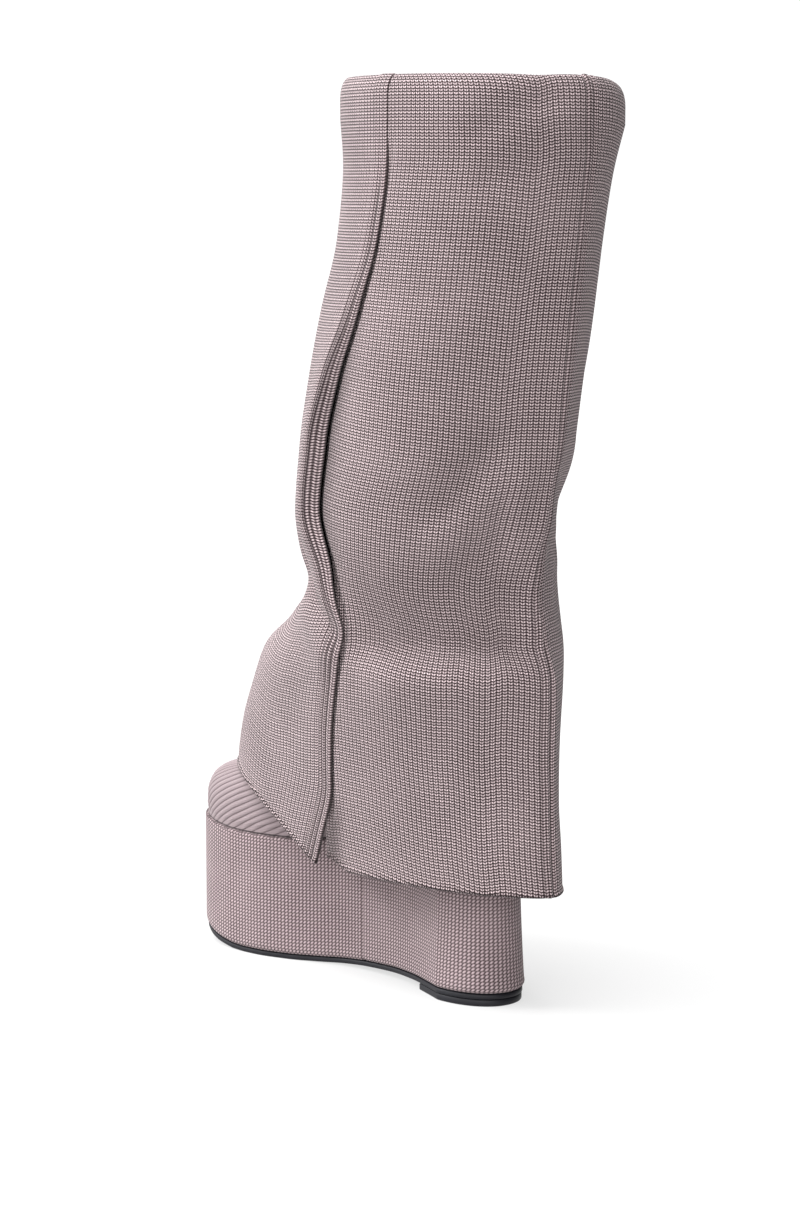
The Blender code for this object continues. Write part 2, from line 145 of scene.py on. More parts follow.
def gridNormals(points, wrapCols=False, wrapRows=False):
    # unit cross product of the step along a row and the step down a column
    padC = np.concatenate([points[:, -1:], points, points[:, :1]], 1) if wrapCols else points
    padR = np.concatenate([points[-1:], points, points[:1]], 0) if wrapRows else points
    across = np.gradient(padC, axis=1)[:, 1:-1] if wrapCols else np.gradient(padC, axis=1)
    down = np.gradient(padR, axis=0)[1:-1] if wrapRows else np.gradient(padR, axis=0)
    normal = np.cross(across, down)
    return normal / np.maximum(np.linalg.norm(normal, axis=2, keepdims=True), 1e-12)


def runDown(points):
    # length down each column from the first row
    steps = np.linalg.norm(np.diff(points, axis=0), axis=2)
    return np.concatenate([np.zeros((1, points.shape[1])), np.cumsum(steps, axis=0)], axis=0)


def quadGrid(rows, cols, wrapCols, wrapRows):
    # vertex numbers of the grid's quads, and the grid places of their corners for the UV map
    r = np.arange(rows if wrapRows else rows - 1)[:, None]
    c = np.arange(cols if wrapCols else cols - 1)[None, :]
    r, c = np.broadcast_arrays(r, c)
    placeR = np.stack([r, r, r + 1, r + 1], -1).reshape(-1, 4)
    placeC = np.stack([c, c + 1, c + 1, c], -1).reshape(-1, 4)
    return (placeR % rows) * cols + placeC % cols, placeR, placeC


def addPiece(name, points, u, v, nodes, material, wrapCols=False, wrapRows=False, extra=(), marks=None):
    # mesh of a grid of points, with its UV map, its extra faces and its marks, riding on the body
    rows, cols = points.shape[:2]
    quads, placeR, placeC = quadGrid(rows, cols, wrapCols, wrapRows)
    mesh = bpy.data.meshes.new(name)
    mesh.from_pydata(points.reshape(-1, 3).tolist(), [], quads.tolist() + [list(f) for f in extra])
    flatU, flatV = u[placeR, placeC].ravel(), v[placeR, placeC].ravel()
    if len(extra):
        rest = np.concatenate([np.asarray(f) for f in extra])
        flatU = np.concatenate([flatU, u[rest // cols, rest % cols]])
        flatV = np.concatenate([flatV, v[rest // cols, rest % cols]])
    layer = mesh.uv_layers.new(name="stitch")
    layer.data.foreach_set("uv", np.stack([flatU, flatV], 1).astype(np.float32).ravel())
    for mark, values in (marks or {}).items():
        held = mesh.attributes.new(mark, "FLOAT", "POINT")
        held.data.foreach_set("value", np.asarray(values, np.float32).ravel())
    mesh.polygons.foreach_set("use_smooth", np.ones(len(mesh.polygons), bool))
    mesh.materials.append(material)
    mesh.update()
    made = bpy.data.objects.new(name, mesh)
    scene.collection.objects.link(made)
    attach(made, "root")
    if nodes:
        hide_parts(*nodes)
    print("piece", name, len(mesh.vertices), "points", 2 * len(quads), "triangles")
    return made


# Materials


def nodeTree(name):
    material = bpy.data.materials.new(name)
    material.use_nodes = True
    return material, material.node_tree, material.node_tree.nodes["Principled BSDF"]


def calc(tree, kind, a, b=None, c=None, clamp=False):
    # one Math node: each input is a number or another node's output
    node = tree.nodes.new("ShaderNodeMath")
    node.operation = kind
    node.use_clamp = clamp
    for socket, value in zip(node.inputs, (a, b, c)):
        if value is None:
            continue
        if isinstance(value, (int, float)):
            socket.default_value = value
        else:
            tree.links.new(value, socket)
    return node.outputs[0]


def blendColour(tree, factor, first, second):
    node = tree.nodes.new("ShaderNodeMix")
    node.data_type = "RGBA"
    tree.links.new(factor, node.inputs["Factor"])
    for socket, value in ((node.inputs["A"], first), (node.inputs["B"], second)):
        if isinstance(value, tuple):
            socket.default_value = (*value, 1.0)
        else:
            tree.links.new(value, socket)
    return node.outputs["Result"]


def noiseAt(tree, vector, scale, detail=2.0):
    node = tree.nodes.new("ShaderNodeTexNoise")
    node.inputs["Scale"].default_value = scale
    node.inputs["Detail"].default_value = detail
    tree.links.new(vector, node.inputs["Vector"])
    return node.outputs["Fac"]


def bumpFrom(tree, height, strength, distance, shader):
    node = tree.nodes.new("ShaderNodeBump")
    node.inputs["Strength"].default_value = strength
    node.inputs["Distance"].default_value = distance
    tree.links.new(height, node.inputs["Height"])
    tree.links.new(node.outputs["Normal"], shader.inputs["Normal"])


def markAt(tree, name):
    node = tree.nodes.new("ShaderNodeAttribute")
    node.attribute_name = name
    return node.outputs["Fac"]


def stitchPlaces(tree):
    # UV in stitch counts: wale and course
    uv = tree.nodes.new("ShaderNodeUVMap")
    uv.uv_map = "stitch"
    split = tree.nodes.new("ShaderNodeSeparateXYZ")
    tree.links.new(uv.outputs["UV"], split.inputs[0])
    return split.outputs["X"], split.outputs["Y"]


def objectPlace(tree):
    return tree.nodes.new("ShaderNodeTexCoord").outputs["Object"]


def wave(tree, value, cycles, low=0.0, high=1.0):
    # cosine of the value, from high at whole numbers of cycles to low between them
    turned = calc(tree, "COSINE", calc(tree, "MULTIPLY", value, 2 * math.pi * cycles))
    return calc(tree, "MULTIPLY_ADD", turned, 0.5 * (high - low), 0.5 * (high + low))


def oneLess(tree, value):
    return calc(tree, "SUBTRACT", 1.0, value)


def aboutZero(tree, value):
    # a value from 0 to 1 moved to -0.5 to 0.5
    return calc(tree, "SUBTRACT", value, 0.5)


def finishCloth(tree, shader, spec, dim, height):
    # colour from light to dark by dim, bump from the height, and a matt face with a little sheen
    tree.links.new(blendColour(tree, dim, spec["light"], spec["dark"]), shader.inputs["Base Color"])
    bumpFrom(tree, height, spec["bump"], spec["depth"], shader)
    shader.inputs["Roughness"].default_value = 0.93
    shader.inputs["Specular IOR Level"].default_value = 0.18
    shader.inputs["Sheen Weight"].default_value = 0.10
    shader.inputs["Sheen Roughness"].default_value = 0.5


knit = {
    "light": (0.93, 0.744, 0.766),
    "dark": (0.012, 0.006, 0.0065),
    "sag": 0.35,  # how far a loop hangs between two wales' holes, in courses
    "betweenWales": 0.38,  # brightness left in the furrow between wales
    "midWale": 0.20,  # and in the holes on both sides of a loop
    "otherCourse": 0.75,  # each other course is a little darker
    "gain": 2.0,
    "offset": 0.28,
    "fuzz": 0.18,  # how much the fine noise changes the brightness
    "drift": 0.10,  # and the broad one
    "hemDark": 0.35,
    "dashLean": 0.45,  # lean of the hem's dashes, in wales
    "dashShare": 0.30,  # share of a wale that a dash takes
    "bump": 0.7,
    "depth": 0.0009,
}


def knitMaterial(name, spec):
    # light loops on a dark ground: a raised cosine over the courses, hung between the wales,
    # times cosines over the wales; the shade mark, painted shade in folds, creases and behind the slits, then
    # darkens it
    material, tree, shader = nodeTree(name)
    wale, course = stitchPlaces(tree)
    place = objectPlace(tree)
    fuzz = aboutZero(tree, noiseAt(tree, place, 1400.0))
    drift = aboutZero(tree, noiseAt(tree, place, 22.0, 3.0))
    hung = calc(tree, "ADD", course, wave(tree, wale, 1.0, 0.0, spec["sag"]))
    loop = calc(tree, "MULTIPLY", wave(tree, hung, 1.0), spec["gain"])
    loop = calc(tree, "SUBTRACT", loop, spec["offset"], clamp=True)
    loop = calc(tree, "MULTIPLY", loop, wave(tree, hung, 0.5, spec["otherCourse"], 1.0))
    loop = calc(tree, "MULTIPLY", loop, wave(tree, wale, 1.0, 1.0, spec["betweenWales"]))
    loop = calc(tree, "MULTIPLY", loop, wave(tree, wale, 2.0, 1.0, spec["midWale"]))
    dim = calc(tree, "MULTIPLY_ADD", fuzz, spec["fuzz"], oneLess(tree, loop))
    dim = calc(tree, "MULTIPLY_ADD", drift, spec["drift"], dim)
    hem = markAt(tree, "hem")
    slant = calc(tree, "FRACT", calc(tree, "MULTIPLY_ADD", hem, spec["dashLean"], wale))
    dash = calc(tree, "LESS_THAN", slant, spec["dashShare"])
    onHem = calc(tree, "MULTIPLY", dash, markAt(tree, "dash"))
    edge = calc(tree, "MULTIPLY_ADD", hem, spec["hemDark"], dim)
    dim = calc(tree, "MAXIMUM", calc(tree, "MAXIMUM", edge, onHem), markAt(tree, "groove"), clamp=True)
    # painted shade: the shade mark darkens the colour
    lit = calc(tree, "MULTIPLY", oneLess(tree, dim), oneLess(tree, markAt(tree, "shade")))
    finishCloth(tree, shader, spec, oneLess(tree, lit), calc(tree, "MULTIPLY_ADD", fuzz, 0.2, loop))
    return material


strokes = {
    "light": (0.445, 0.346, 0.360),
    "dark": (0.026, 0.015, 0.017),
    "slant": 0.5,  # how far a stitch leans over its own height, in wales
    "between": 0.25,  # brightness left between two courses
    "gap": 0.95,
    "gapPower": 1.6,
    "fuzz": 0.25,
    "drift": 0.18,
    "sewnRate": 0.8,  # sewn dashes to a wale
    "sewnShare": 0.62,  # share of each that is thread
    "bump": 0.6,
    "depth": 0.0008,
}


def wrapMaterial(name, spec):
    # one leaning stitch to a wale and course: product of two raised cosines, the first shifted
    # with the height
    material, tree, shader = nodeTree(name)
    wale, course = stitchPlaces(tree)
    place = objectPlace(tree)
    fuzz = aboutZero(tree, noiseAt(tree, place, 1300.0))
    drift = aboutZero(tree, noiseAt(tree, place, 26.0, 3.0))
    climb = aboutZero(tree, calc(tree, "FRACT", course))
    across = wave(tree, calc(tree, "MULTIPLY_ADD", climb, -spec["slant"], wale), 1.0)
    stitch = calc(tree, "MULTIPLY", across, wave(tree, course, 1.0, 1.0, spec["between"]))
    dim = calc(tree, "POWER", oneLess(tree, stitch), spec["gapPower"])
    dim = calc(tree, "MULTIPLY", dim, spec["gap"])
    dim = calc(tree, "MULTIPLY_ADD", fuzz, spec["fuzz"], dim)
    dim = calc(tree, "MULTIPLY_ADD", drift, spec["drift"], dim)
    beat = calc(tree, "FRACT", calc(tree, "MULTIPLY", wale, spec["sewnRate"]))
    thread = calc(tree, "LESS_THAN", beat, spec["sewnShare"])
    sewn = calc(tree, "MULTIPLY", markAt(tree, "hem"), thread)
    dim = calc(tree, "MAXIMUM", calc(tree, "MAXIMUM", dim, sewn), markAt(tree, "groove"), clamp=True)
    finishCloth(tree, shader, spec, dim, calc(tree, "MULTIPLY_ADD", fuzz, 0.2, stitch))
    return material


rib = {
    "light": (0.243, 0.195, 0.204),
    "dark": (0.045, 0.028, 0.030),
    "furrowPower": 5.0,
    "furrowDark": 0.85,
    "rowDark": 0.10,
    "fuzz": 0.22,
    "bump": 0.6,
    "depth": 0.0008,
}


def ribMaterial(name, spec):
    # broad ribs with a dark furrow between them and fine stitches along each
    material, tree, shader = nodeTree(name)
    wale, course = stitchPlaces(tree)
    offCrest = calc(tree, "ABSOLUTE", aboutZero(tree, calc(tree, "FRACT", wale)))
    furrow = calc(tree, "POWER", calc(tree, "MULTIPLY", offCrest, 2.0), spec["furrowPower"])
    row = wave(tree, course, 1.0)
    fuzz = aboutZero(tree, noiseAt(tree, objectPlace(tree), 1400.0))
    dim = calc(tree, "MULTIPLY", furrow, spec["furrowDark"])
    dim = calc(tree, "MULTIPLY_ADD", row, spec["rowDark"], dim)
    dim = calc(tree, "MULTIPLY_ADD", fuzz, spec["fuzz"], dim, clamp=True)
    height = calc(tree, "MULTIPLY_ADD", row, -0.2, oneLess(tree, furrow))
    finishCloth(tree, shader, spec, dim, calc(tree, "MULTIPLY_ADD", fuzz, 0.2, height))
    return material


rubberLook = {
    "base": (0.006, 0.006, 0.008),
    "worn": 2.1,  # the mottle's lighter tone, in times the base
    "rough": 0.34,
    "roughMore": 0.22,  # what the mottle adds
    "specular": 0.22,
    "bump": 0.12,
    "depth": 0.0004,
}


def rubberMaterial(name, spec):
    # near-black rubber with a faint mottle and a fine satin grain
    material, tree, shader = nodeTree(name)
    place = objectPlace(tree)
    mottle = noiseAt(tree, place, 60.0, 4.0)
    worn = tuple(spec["worn"] * x for x in spec["base"])
    rough = calc(tree, "MULTIPLY_ADD", mottle, spec["roughMore"], spec["rough"])
    tree.links.new(blendColour(tree, mottle, spec["base"], worn), shader.inputs["Base Color"])
    tree.links.new(rough, shader.inputs["Roughness"])
    bumpFrom(tree, noiseAt(tree, place, 2600.0), spec["bump"], spec["depth"], shader)
    shader.inputs["Specular IOR Level"].default_value = spec["specular"]
    return material


liningLook = {
    "light": (0.40, 0.33, 0.32),
    "dark": (0.26, 0.205, 0.20),
    "threads": 5200.0,  # radians of the weave to a metre
    "bump": 0.3,
    "depth": 0.0004,
}


def liningMaterial(name, spec):
    # plain woven lining: two crossed sine waves on Object coordinates
    material, tree, shader = nodeTree(name)
    place = objectPlace(tree)
    split = tree.nodes.new("ShaderNodeSeparateXYZ")
    tree.links.new(place, split.inputs[0])
    warp = calc(tree, "SINE", calc(tree, "MULTIPLY", split.outputs["X"], spec["threads"]))
    weft = calc(tree, "SINE", calc(tree, "MULTIPLY", split.outputs["Y"], spec["threads"]))
    weave = calc(tree, "MULTIPLY_ADD", calc(tree, "MULTIPLY", warp, weft), 0.5, 0.5)
    woven = calc(tree, "MULTIPLY", weave, 0.4)
    tone = calc(tree, "MULTIPLY_ADD", noiseAt(tree, place, 35.0, 4.0), 0.5, woven)
    tree.links.new(blendColour(tree, tone, spec["light"], spec["dark"]), shader.inputs["Base Color"])
    bumpFrom(tree, weave, spec["bump"], spec["depth"], shader)
    shader.inputs["Roughness"].default_value = 0.9
    return material


cuffCloth = knitMaterial("cuffKnit", knit)
wrapCloth = wrapMaterial("wrapKnit", strokes)
ribCloth = ribMaterial("ribKnit", rib)
rubber = rubberMaterial("blackRubber", rubberLook)
lining = liningMaterial("insoleLining", liningLook)
print("materials made")


# Sole shapes shared by the wrap, the insole and the upper
sole = {
    "heelBack": 0.028,
    "toeTip": -0.236,
    "toeLean": 0.010,  # the toe's point leans to the medial side
    "heelPower": 2.1,
    "toePower": 2.55,
    "plan": (  # y, medial, lateral
        (-0.008, 0.0245, 0.0260),
        (-0.022, 0.0210, 0.0265),
        (-0.040, 0.0173, 0.0278),
        (-0.064, 0.0150, 0.0302),
        (-0.086, 0.0148, 0.0332),
        (-0.106, 0.0174, 0.0368),
        (-0.128, 0.0260, 0.0412),
        (-0.147, 0.0345, 0.0434),
        (-0.166, 0.0410, 0.0428),
        (-0.188, 0.0442, 0.0385),
    ),
    "heights": (  # y, underside, top edge
        (0.030, 0.0079, 0.1060),
        (0.000, 0.0079, 0.1058),
        (-0.038, 0.0079, 0.1020),
        (-0.062, 0.0076, 0.0950),
        (-0.094, 0.0060, 0.0865),
        (-0.122, 0.0042, 0.0816),
        (-0.145, 0.0034, 0.0798),
        (-0.176, 0.0034, 0.0798),
        (-0.200, 0.0058, 0.0812),
        (-0.220, 0.0108, 0.0836),
        (-0.237, 0.0178, 0.0868),
    ),
}
planTable, heightTable = np.array(sole["plan"]), np.array(sole["heights"])


def soleSide(y, side, inset=0.0):
    # distance from the axis to the outline: superellipse ends and a smooth waist,
    # side is 1 for medial and -1 for lateral
    y = np.asarray(y, float)
    widths = planTable[:, 1 if side > 0 else 2] - inset
    heelY, ballY = planTable[0, 0], planTable[-1, 0]
    t = np.clip((y - heelY) / (sole["heelBack"] - inset - heelY), 0, 1)
    heel = widths[0] * (1 - t ** sole["heelPower"]) ** (1 / sole["heelPower"])
    middle = through(y, planTable[:, 0], widths)
    t = np.clip((ballY - y) / (ballY - sole["toeTip"] - inset), 0, 1)
    lean = side * sole["toeLean"] * t
    toe = lean + (widths[-1] - lean) * (1 - t ** sole["toePower"]) ** (1 / sole["toePower"])
    return np.where(y > heelY, heel, np.where(y < ballY, toe, middle))


def soleUnder(y):
    return through(y, heightTable[:, 0], heightTable[:, 1])


def soleTop(y):
    return through(y, heightTable[:, 0], heightTable[:, 2])


def soleRing(turns, sides, inset):
    # plan points at angles from the heel: y = middle + half length times cos turn, x from the outline
    back, front = sole["heelBack"] - inset, sole["toeTip"] + inset
    y = 0.5 * (back + front) + 0.5 * (back - front) * np.cos(turns)
    x = np.where(sides > 0, soleSide(y, 1, inset), -soleSide(y, -1, inset))
    return x, y


def turnAndSide(angle):
    # turn from the heel, and side, of an angle that goes down the medial side and back up the lateral one
    return np.where(angle <= math.pi, angle, 2 * math.pi - angle), np.where(angle <= math.pi, 1, -1)


def outlineRun():
    # fine angles round the outline, and the length along it at each
    fine = np.linspace(0, 2 * math.pi, 4001)
    x, y = soleRing(*turnAndSide(fine), 0.0)
    return fine, np.concatenate([[0], np.cumsum(np.hypot(np.diff(x), np.diff(y)))])


def evenTurns(count):
    # turn and side of points spread evenly by length round the outline, from the heel
    fine, along = outlineRun()
    return turnAndSide(np.interp(np.linspace(0, along[-1], count, endpoint=False), along, fine))


def endCaps(levels, count):
    # the two faces that close a stack of loops
    return [list(range(count))[::-1], list(range((levels - 1) * count, levels * count))]


def addBlock(name, rows, node, material):
    # closed block from loops that climb from the underside to the top
    base = np.array(rows)[:, ::-1]
    levels, count = base.shape[:2]
    u = np.broadcast_to(np.arange(count + 1) / 4.0, (levels, count + 1))
    v = np.broadcast_to(np.arange(levels)[:, None] * 1.0, (levels, count + 1))
    addPiece(name, base, u, v, [node], material, wrapCols=True, extra=endCaps(levels, count))


# Flatform with its knit wrap
wrap = {
    "wale": 0.0026,
    "course": 0.0022,
    "columnsPerWale": 3,
    "underRadius": 0.0035,
    "topRadius": 0.0015,
    "underInset": 0.016,  # where the wrap ends under the wedge
    "topInset": 0.010,  # and on its top
    "heelFlare": 0.0035,
    "sewn": 0.0013,  # height of the sewn line under the top edge
    "seamY": -0.090,  # upright seam on the medial waist
    "seamWide": 0.0011,
    "seamDeep": 0.0008,
}


def flaredOut(x, y, share):
    # the heel's wall leans out towards the floor: plan points grow by the flare over the heel's length
    out = share * wrap["heelFlare"] * through(y, (-0.06, 0.0, 0.03), (0.0, 1.0, 1.0)) / sole["heelBack"]
    return x * (1 + out), y + np.clip(y, 0, None) * out


def wrapLevels():
    # inset, share of the wall's height, lift and flare of each row
    under, over = wrap["underRadius"], wrap["topRadius"]
    levels = [(wrap["underInset"], 0.0, 0.0, 1.0)]
    for a in np.linspace(0, 0.5 * math.pi, 6):
        levels.append((under * (1 - math.sin(a)), 0.0, under * (1 - math.cos(a)), 1.0))
    for share in np.concatenate([np.linspace(0.06, 0.94, 30), (0.955, 0.965, 0.975)]):
        levels.append((0.0, share, 0.0, (1 - share) ** 2))
    for a in np.linspace(0, 0.5 * math.pi, 4):
        levels.append((over * (1 - math.cos(a)), 1.0, -over * (1 - math.sin(a)), 0.0))
    return levels + [(wrap["topInset"], 1.0, 0.0, 0.0)]


def addWrap():
    # side wall carried round the outline: rows climb from under the edge, up the flared wall
    # and over the top edge
    count = int(round(outlineRun()[1][-1] / wrap["wale"])) * wrap["columnsPerWale"]
    turns, sides = evenTurns(count)
    rows = []
    for inset, share, lift, flared in wrapLevels():
        x, y = soleRing(turns, sides, inset)
        low, high = soleUnder(y), soleTop(y)
        z = low + share * (high - low) + lift
        x, y = flaredOut(x, y, flared)
        rows.append(np.stack([x, y, z], -1))
    base = np.array(rows)[:, ::-1]  # lateral side first, so that the faces point outward
    normal = gridNormals(base, wrapCols=True)
    onSeam = (base[..., 0] > 0) * bell(base[..., 1] - wrap["seamY"], wrap["seamWide"])
    points = base - normal * (wrap["seamDeep"] * onSeam)[..., None]
    u = np.broadcast_to(np.arange(count + 1) / wrap["columnsPerWale"], (len(rows), count + 1))
    run = runDown(base)
    down = (run - run[6:7]) / wrap["course"]  # courses count from the wall's foot
    v = np.concatenate([down, down[:, :1]], 1)
    sewn = 1.0 * (np.abs(run[-2:-1] - run - 0.4 * wrap["sewn"]) < wrap["sewn"])
    marks = {"groove": 0.45 * onSeam, "hem": 0.9 * sewn}
    caps = endCaps(len(rows), count)
    addPiece("wrap", points, u, v, ["platform"], wrapCloth, True, extra=caps, marks=marks)


addWrap()


# Insole
insole = {
    "inset": 0.0055,
    "lift": 0.0003,
    "thick": 0.004,
    "edge": 0.0012,
    "dish": 0.0012,
    "centreY": -0.104,  # the inner loops draw in to this place
}


def insoleMiddle(y):
    # half way between the outline's two sides
    return 0.5 * (soleSide(y, 1, insole["inset"]) - soleSide(y, -1, insole["inset"]))


def insoleRows():
    # footbed: loops run from the underside's middle out to its edge, up, and back over the top
    # with a shallow dish
    x, y = soleRing(*evenTurns(180), insole["inset"])
    thick, centre = insole["thick"], insole["centreY"]
    levels = [(0.03, 0), (0.5, 0), (1.0, 0), (1.0, thick - insole["edge"]), (0.985, thick)]
    for k in (0.9, 0.75, 0.55, 0.35, 0.15, 0.03):
        levels.append((k, thick - insole["dish"] * (1 - k) ** 0.8))
    rows = []
    for k, lift in levels:
        drawn = y if k > 0.9 else centre + (y - centre) * (0.35 + 0.65 * k)
        across = insoleMiddle(drawn) + (x - insoleMiddle(y)) * k
        rows.append(np.stack([across, drawn, soleTop(drawn) + insole["lift"] + lift], -1))
    return rows


addBlock("footbed", insoleRows(), "insole", lining)


# Upper: ribbed foot and shaft
upper = {
    "names": ("backY", "backZ", "frontY", "frontZ", "medial", "lateral", "foot"),
    "rings": (
        (0.0275, 0.1130, -0.2352, 0.0930, 0.0424, 0.0428, 1.00),
        (0.0282, 0.1220, -0.2356, 0.1010, 0.0414, 0.0415, 1.00),
        (0.0282, 0.1320, -0.2322, 0.1100, 0.0392, 0.0390, 1.00),
        (0.0268, 0.1440, -0.2222, 0.1168, 0.0356, 0.0360, 0.98),
        (0.0245, 0.1570, -0.2040, 0.1212, 0.0325, 0.0335, 0.94),
        (0.0226, 0.1720, -0.1740, 0.1256, 0.0308, 0.0322, 0.88),
        (0.0216, 0.1890, -0.1420, 0.1375, 0.0312, 0.0325, 0.78),
        (0.0225, 0.2090, -0.1150, 0.1620, 0.0330, 0.0340, 0.62),
        (0.0260, 0.2330, -0.0960, 0.1970, 0.0355, 0.0360, 0.40),
        (0.0325, 0.2670, -0.0880, 0.2460, 0.0385, 0.0388, 0.18),
        (0.0430, 0.3170, -0.0860, 0.3080, 0.0430, 0.0430, 0.0),
        (0.0560, 0.3870, -0.0860, 0.3830, 0.0495, 0.0495, 0.0),
        (0.0740, 0.4660, -0.0875, 0.4650, 0.0570, 0.0570, 0.0),
        (0.0865, 0.5150, -0.0900, 0.5150, 0.0625, 0.0625, 0.0),
    ),
    "wall": 0.0026,
    "featherInset": 0.0018,
    "footClimb": (0.0006, 0.0015, 0.0028, 0.004),  # first rows over the flatform's top
    "collarTop": 0.5530,
    "collarStraight": 0.018,
    "collarHalf": 0.0655,
    "collarMiddle": 0.0005,
    "collarReach": 0.0935,
    "ribPitch": 0.0039,
    "ribRelief": 0.0003,
    "ribClimb": 0.62,  # how steeply the ribs rise to the ankle on the foot's sides
    "stitch": 0.0013,
}
rim = {
    "backDrop": 0.0014,
    "lobeDrop": 0.0052,  # the lateral quarter hangs a little lower beside the centre back
    "lobeTurn": 38,  # degrees from the back
    "lobeWide": 24,
    "fadeFrom": 0.46,
    "foldRadius": 0.0058,
    "shoulder": 0.0125,  # height over which the roll rounds off outside
    "foldDrop": 0.0016,
    "facing": 0.016,
}


def rimDrop(turn, side):
    # the rim is lowest behind: cosine^1.5 of the turn, and a soft bump on the lateral quarter
    drop = rim["backDrop"] * np.clip(np.cos(turn), 0, 1) ** 1.5
    lobe = bell(turn - math.radians(rim["lobeTurn"]), math.radians(rim["lobeWide"]))
    return drop + rim["lobeDrop"] * lobe * (side < 0)


def upperTurns():
    # angles from the back, close together round the toe
    back = np.linspace(0, math.radians(105), 34, endpoint=False)
    toe = math.radians(105) + math.radians(75) * np.linspace(0, 1, 120)
    return np.concatenate([back, toe])


def upperHalf(ring, turn, side):
    # rings tilt from back to front: part sole outline and part ellipse, by the foot column
    r = {name: values[:, None] for name, values in ring.items()}
    middle, reach = 0.5 * (r["backY"] + r["frontY"]), 0.5 * (r["backY"] - r["frontY"])
    y = middle + reach * np.cos(turn)
    share = (r["backY"] - y) / (2 * reach)
    soleY = sole["heelBack"] + share * (sole["toeTip"] - sole["heelBack"])
    width = r["medial"] if side > 0 else r["lateral"]
    ball = planTable[:, 1 if side > 0 else 2].max()
    x = r["foot"] * soleSide(soleY, side) * width / ball + (1 - r["foot"]) * width * np.sin(turn)
    z = r["backZ"] + (r["frontZ"] - r["backZ"]) * share
    chord = soleTop(sole["heelBack"]) + (soleTop(sole["toeTip"]) - soleTop(sole["heelBack"])) * share
    z = z + r["foot"] ** 4 * (soleTop(soleY) - chord)
    return np.stack([side * x, y, z], -1)


def upperSkin():
    # rows from the foot edge to the collar, each the medial half and then the lateral half back to the heel
    turn = upperTurns()
    where = np.concatenate([np.linspace(0, 5, 46, endpoint=False), np.linspace(5, 13, 41)])
    ring = tableAt(upper["rings"], upper["names"], where)
    halves = []
    for side in (1, -1):
        y = soleRing(turn, np.ones_like(turn), upper["featherInset"])[1]
        x = side * soleSide(y, side, upper["featherInset"])
        foot = [np.stack([x, y, soleTop(y) + climb], -1) for climb in upper["footClimb"]]
        body = upperHalf(ring, turn, side)
        cx = side * upper["collarHalf"] * np.sin(turn)
        cy = upper["collarMiddle"] + upper["collarReach"] * np.cos(turn)
        tops = [upper["collarTop"] - upper["collarStraight"], upper["collarTop"] - 0.006, upper["collarTop"]]
        collar = [np.stack([cx, cy, z - rimDrop(turn, side)], -1) for z in tops]
        between = fillGap(foot[-1], body[0], 5)
        halves.append(np.concatenate([np.array(foot), between, body, np.array(collar)], 0))
    return np.concatenate([halves[0], halves[1][:, -2:0:-1]], 1)


def fillGap(first, last, count):
    # straight rows between two rows, without the ends
    share = np.linspace(0, 1, count + 2)[1:-1, None, None]
    return first[None] * (1 - share) + last[None] * share


def addUpper():
    # closed shell: rows climb outside, turn over the collar's edge and come down inside;
    # ribs count the girth from the crest
    skin = upperSkin()
    normal = -gridNormals(skin, wrapCols=True)
    wide = ease(np.abs(skin[..., 0]), 0.0, 0.032)
    fall = np.clip(0.120 - skin[..., 2] + upper["ribClimb"] * (skin[..., 1] - sole["toeTip"]), 0, None)
    girth = np.sqrt(skin[..., 0] ** 2 + (wide * fall) ** 2) * np.sign(skin[..., 0])
    ribs = girth / upper["ribPitch"]
    shaft = np.arctan2(skin[..., 0], skin[..., 1] + 0.02) * 0.05 / upper["ribPitch"]
    onFoot = ease(skin[..., 1], -0.12, -0.15)
    u = np.where(onFoot > 0.5, ribs, shaft)
    depth = upper["ribRelief"] * onFoot * ease(skin[..., 2] - soleTop(skin[..., 1]), 0.002, 0.006)
    outer = skin + normal * (depth * np.cos(2 * math.pi * (ribs - 0.5)))[..., None]
    inner = (skin - normal * upper["wall"])[::-1][::2]
    points = np.concatenate([outer, inner], 0)[:, ::-1]
    down = runDown(skin) / upper["stitch"]
    u = np.concatenate([u, u[::-1][::2]], 0)[:, ::-1]
    v = np.concatenate([down, down[::-1][::2]], 0)[:, ::-1]
    u, v = np.concatenate([u, u[:, :1]], 1), np.concatenate([v, v[:, :1]], 1)
    u, v = np.concatenate([u, u[:1]], 0), np.concatenate([v, v[:1]], 0)
    addPiece("ribUpper", points, u, v, ["upper"], ribCloth, True, True)


addUpper()


